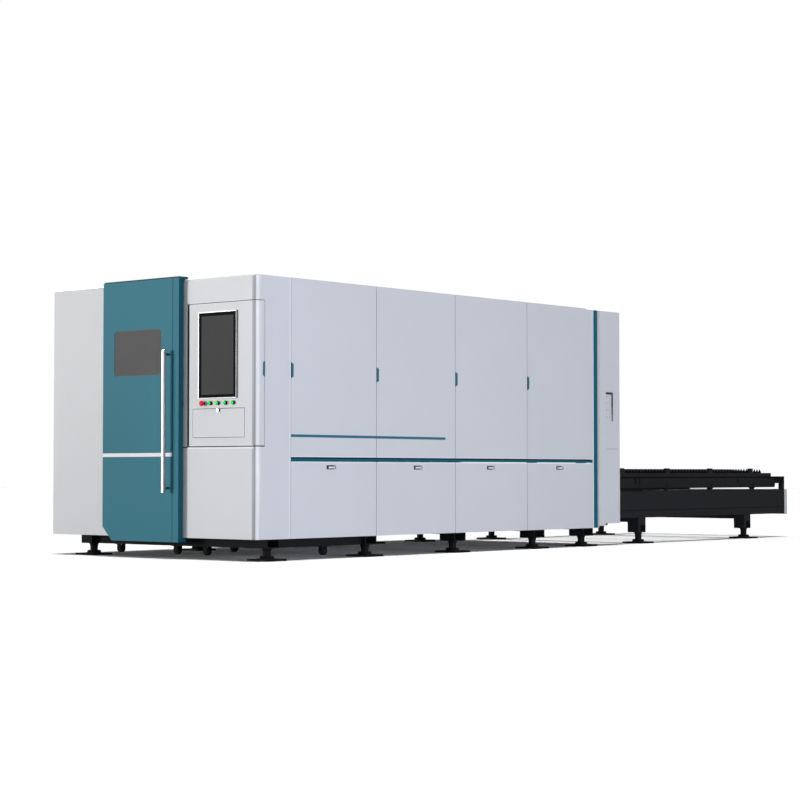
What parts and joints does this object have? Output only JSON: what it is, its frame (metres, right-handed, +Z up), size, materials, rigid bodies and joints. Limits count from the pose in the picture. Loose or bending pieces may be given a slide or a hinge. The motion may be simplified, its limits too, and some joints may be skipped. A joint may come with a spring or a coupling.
{
  "type": "fiber laser cutting machine",
  "caption": "Enclosed flat-bed sheet cutting machine with a sliding front door, console door, side doors, drawers, gantry head and a two-level exchange table with slatted pallets.",
  "frame": {"origin": "on the floor, below the centre of the whole machine", "axes": "+X from the operator front towards the exchange table, +Y towards the plain far side, +Z up"},
  "size_m": [8.09, 2.3854, 2.192],
  "materials": {
    "panel_white": "powder-coated light grey sheet steel",
    "door_teal": "satin teal paint on folded sheet steel",
    "trim_teal": "dark teal paint on folded sheet steel",
    "frame_black": "matt black paint on welded steel",
    "foot_black": "blackened cast iron",
    "screw_steel": "blackened steel screw",
    "wheel_rubber": "dark rubber",
    "window_glass": "grey-tinted laser safety pane",
    "handle_steel": "brushed stainless steel",
    "rail_steel": "ground steel rail",
    "monitor_silver": "anodised aluminium",
    "screen_black": "dark glossy screen with a black bezel",
    "collar_black": "black plastic",
    "button_green": "green plastic cap",
    "button_red": "red plastic mushroom cap",
    "lock_chrome": "chromed knob",
    "control_grey": "grey plastic control box with small buttons",
    "inner_grey": "grey paint",
    "head_alloy": "machined aluminium",
    "nozzle_copper": "copper alloy",
    "slat_steel": "dark steel strip"
  },
  "bodies": {
    "machine": {"bed_frame": "frame_black", "gantry_rails": "rail_steel", "gear_racks": "rail_steel", "pallet_tracks": "rail_steel", "foot_bases": "foot_black", "foot_screws": "screw_steel", "foot_nuts": "foot_black", "caster_forks": "frame_black", "enclosure_frame": "frame_black", "front_left_panel": "panel_white", "operator_cabinet_shell": "panel_white", "roof_panel": "panel_white", "far_side_panel": "panel_white", "rear_portal_panel": "panel_white", "corner_strip": "trim_teal", "end_side_panel": "panel_white", "end_control_box": "control_grey", "lower_side_rail": "trim_teal", "sliding_door_rail": "rail_steel", "electrical_cabinet": "inner_grey", "laser_source": "inner_grey", "table_frame": "frame_black", "table_end_panel": "panel_white"},
    "sliding_door": {"sliding_door_shell": "door_teal", "sliding_door_window": "window_glass", "sliding_door_handle": "handle_steel", "sliding_door_hangers": "rail_steel"},
    "console_door": {"console_door_shell": "panel_white", "monitor_housing": "monitor_silver", "monitor_screen": "screen_black", "button_collars": "collar_black"},
    "start_button_1": {"start_button_1": "button_green"},
    "start_button_2": {"start_button_2": "button_green"},
    "start_button_3": {"start_button_3": "button_green"},
    "start_button_4": {"start_button_4": "button_green"},
    "emergency_stop": {"emergency_stop_button": "button_red"},
    "keyboard_flap": {"keyboard_flap": "panel_white"},
    "flap_lock": {"flap_lock": "lock_chrome"},
    "side_door_1": {"side_door_1": "panel_white"},
    "side_door_2": {"side_door_2": "panel_white"},
    "side_door_3": {"side_door_3": "panel_white"},
    "side_door_4": {"side_door_4": "panel_white"},
    "lower_drawer_1": {"lower_drawer_1": "panel_white"},
    "lower_drawer_2": {"lower_drawer_2": "panel_white"},
    "lower_drawer_3": {"lower_drawer_3": "panel_white"},
    "lower_drawer_4": {"lower_drawer_4": "panel_white"},
    "caster_wheel_1": {"caster_wheel_1": "wheel_rubber"},
    "caster_wheel_2": {"caster_wheel_2": "wheel_rubber"},
    "caster_wheel_3": {"caster_wheel_3": "wheel_rubber"},
    "caster_wheel_4": {"caster_wheel_4": "wheel_rubber"},
    "caster_wheel_5": {"caster_wheel_5": "wheel_rubber"},
    "gantry": {"gantry_beam": "inner_grey"},
    "carriage": {"cross_carriage": "inner_grey"},
    "head": {"cutting_head": "head_alloy", "nozzle": "nozzle_copper"},
    "upper_pallet": {"upper_pallet_frame": "frame_black", "upper_pallet_slats": "slat_steel", "upper_pallet_wheels": "rail_steel"},
    "lower_pallet": {"lower_pallet": "frame_black"}
  },
  "joints": [
    {"name": "sliding_door_slide", "type": "slide", "parent": "machine", "child": "sliding_door", "axis": [0, 1, 0], "range_m": [0, 0.64]},
    {"name": "console_door_hinge", "type": "hinge", "parent": "machine", "child": "console_door", "pos_m": [-3.921, -0.40325, 0.868], "axis": [0, 0, -1], "range_deg": [0, 90]},
    {"name": "start_button_1_push", "type": "slide", "parent": "console_door", "child": "start_button_1", "axis": [1, 0, 0], "range_m": [0, 0.004], "stiffness_N_per_m": 400},
    {"name": "start_button_2_push", "type": "slide", "parent": "console_door", "child": "start_button_2", "axis": [1, 0, 0], "range_m": [0, 0.004], "stiffness_N_per_m": 400},
    {"name": "start_button_3_push", "type": "slide", "parent": "console_door", "child": "start_button_3", "axis": [1, 0, 0], "range_m": [0, 0.004], "stiffness_N_per_m": 400},
    {"name": "start_button_4_push", "type": "slide", "parent": "console_door", "child": "start_button_4", "axis": [1, 0, 0], "range_m": [0, 0.004], "stiffness_N_per_m": 400},
    {"name": "emergency_stop_push", "type": "slide", "parent": "console_door", "child": "emergency_stop", "axis": [1, 0, 0], "range_m": [0, 0.006], "stiffness_N_per_m": 400},
    {"name": "keyboard_flap_hinge", "type": "hinge", "parent": "console_door", "child": "keyboard_flap", "pos_m": [-3.921, -0.74525, 0.936], "axis": [0, -1, 0], "range_deg": [0, 90]},
    {"name": "flap_lock_turn", "type": "hinge", "parent": "keyboard_flap", "child": "flap_lock", "pos_m": [-3.921, -0.74525, 1.146], "axis": [-1, 0, 0], "range_deg": [0, 90]},
    {"name": "side_door_1_hinge", "type": "hinge", "parent": "machine", "child": "side_door_1", "pos_m": [-2.562, -1.15625, 0.786], "axis": [0, 0, 1], "range_deg": [0, 100]},
    {"name": "side_door_2_hinge", "type": "hinge", "parent": "machine", "child": "side_door_2", "pos_m": [-1.557, -1.15625, 0.786], "axis": [0, 0, 1], "range_deg": [0, 100]},
    {"name": "side_door_3_hinge", "type": "hinge", "parent": "machine", "child": "side_door_3", "pos_m": [-0.556, -1.15625, 0.786], "axis": [0, 0, 1], "range_deg": [0, 100]},
    {"name": "side_door_4_hinge", "type": "hinge", "parent": "machine", "child": "side_door_4", "pos_m": [0.439, -1.15625, 0.786], "axis": [0, 0, 1], "range_deg": [0, 100]},
    {"name": "lower_drawer_1_slide", "type": "slide", "parent": "machine", "child": "lower_drawer_1", "axis": [0, -1, 0], "range_m": [0, 0.8]},
    {"name": "lower_drawer_2_slide", "type": "slide", "parent": "machine", "child": "lower_drawer_2", "axis": [0, -1, 0], "range_m": [0, 0.8]},
    {"name": "lower_drawer_3_slide", "type": "slide", "parent": "machine", "child": "lower_drawer_3", "axis": [0, -1, 0], "range_m": [0, 0.8]},
    {"name": "lower_drawer_4_slide", "type": "slide", "parent": "machine", "child": "lower_drawer_4", "axis": [0, -1, 0], "range_m": [0, 0.8]},
    {"name": "caster_wheel_1_spin", "type": "hinge", "parent": "machine", "child": "caster_wheel_1", "pos_m": [-3.731, 0.56775, 0.056], "axis": [1, 0, 0], "continuous": true},
    {"name": "caster_wheel_2_spin", "type": "hinge", "parent": "machine", "child": "caster_wheel_2", "pos_m": [-3.731, -0.09825, 0.056], "axis": [1, 0, 0], "continuous": true},
    {"name": "caster_wheel_3_spin", "type": "hinge", "parent": "machine", "child": "caster_wheel_3", "pos_m": [-3.731, -0.43125, 0.056], "axis": [1, 0, 0], "continuous": true},
    {"name": "caster_wheel_4_spin", "type": "hinge", "parent": "machine", "child": "caster_wheel_4", "pos_m": [-3.121, -0.11225, 0.056], "axis": [1, 0, 0], "continuous": true},
    {"name": "caster_wheel_5_spin", "type": "hinge", "parent": "machine", "child": "caster_wheel_5", "pos_m": [-3.106, -1.07625, 0.056], "axis": [1, 0, 0], "continuous": true},
    {"name": "gantry_slide", "type": "slide", "parent": "machine", "child": "gantry", "axis": [1, 0, 0], "range_m": [0, 3]},
    {"name": "carriage_slide", "type": "slide", "parent": "gantry", "child": "carriage", "axis": [0, 1, 0], "range_m": [-0.65, 0.65]},
    {"name": "head_slide", "type": "slide", "parent": "carriage", "child": "head", "axis": [0, 0, 1], "range_m": [-0.13, 0.04]},
    {"name": "upper_pallet_slide", "type": "slide", "parent": "machine", "child": "upper_pallet", "axis": [-1, 0, 0], "range_m": [0, 4.04]},
    {"name": "lower_pallet_slide", "type": "slide", "parent": "machine", "child": "lower_pallet", "axis": [1, 0, 0], "range_m": [0, 4.04]}
  ],
  "couplings": [
    {"joint": "lower_pallet_slide", "follows": "upper_pallet_slide", "ratio": 1}
  ]
}
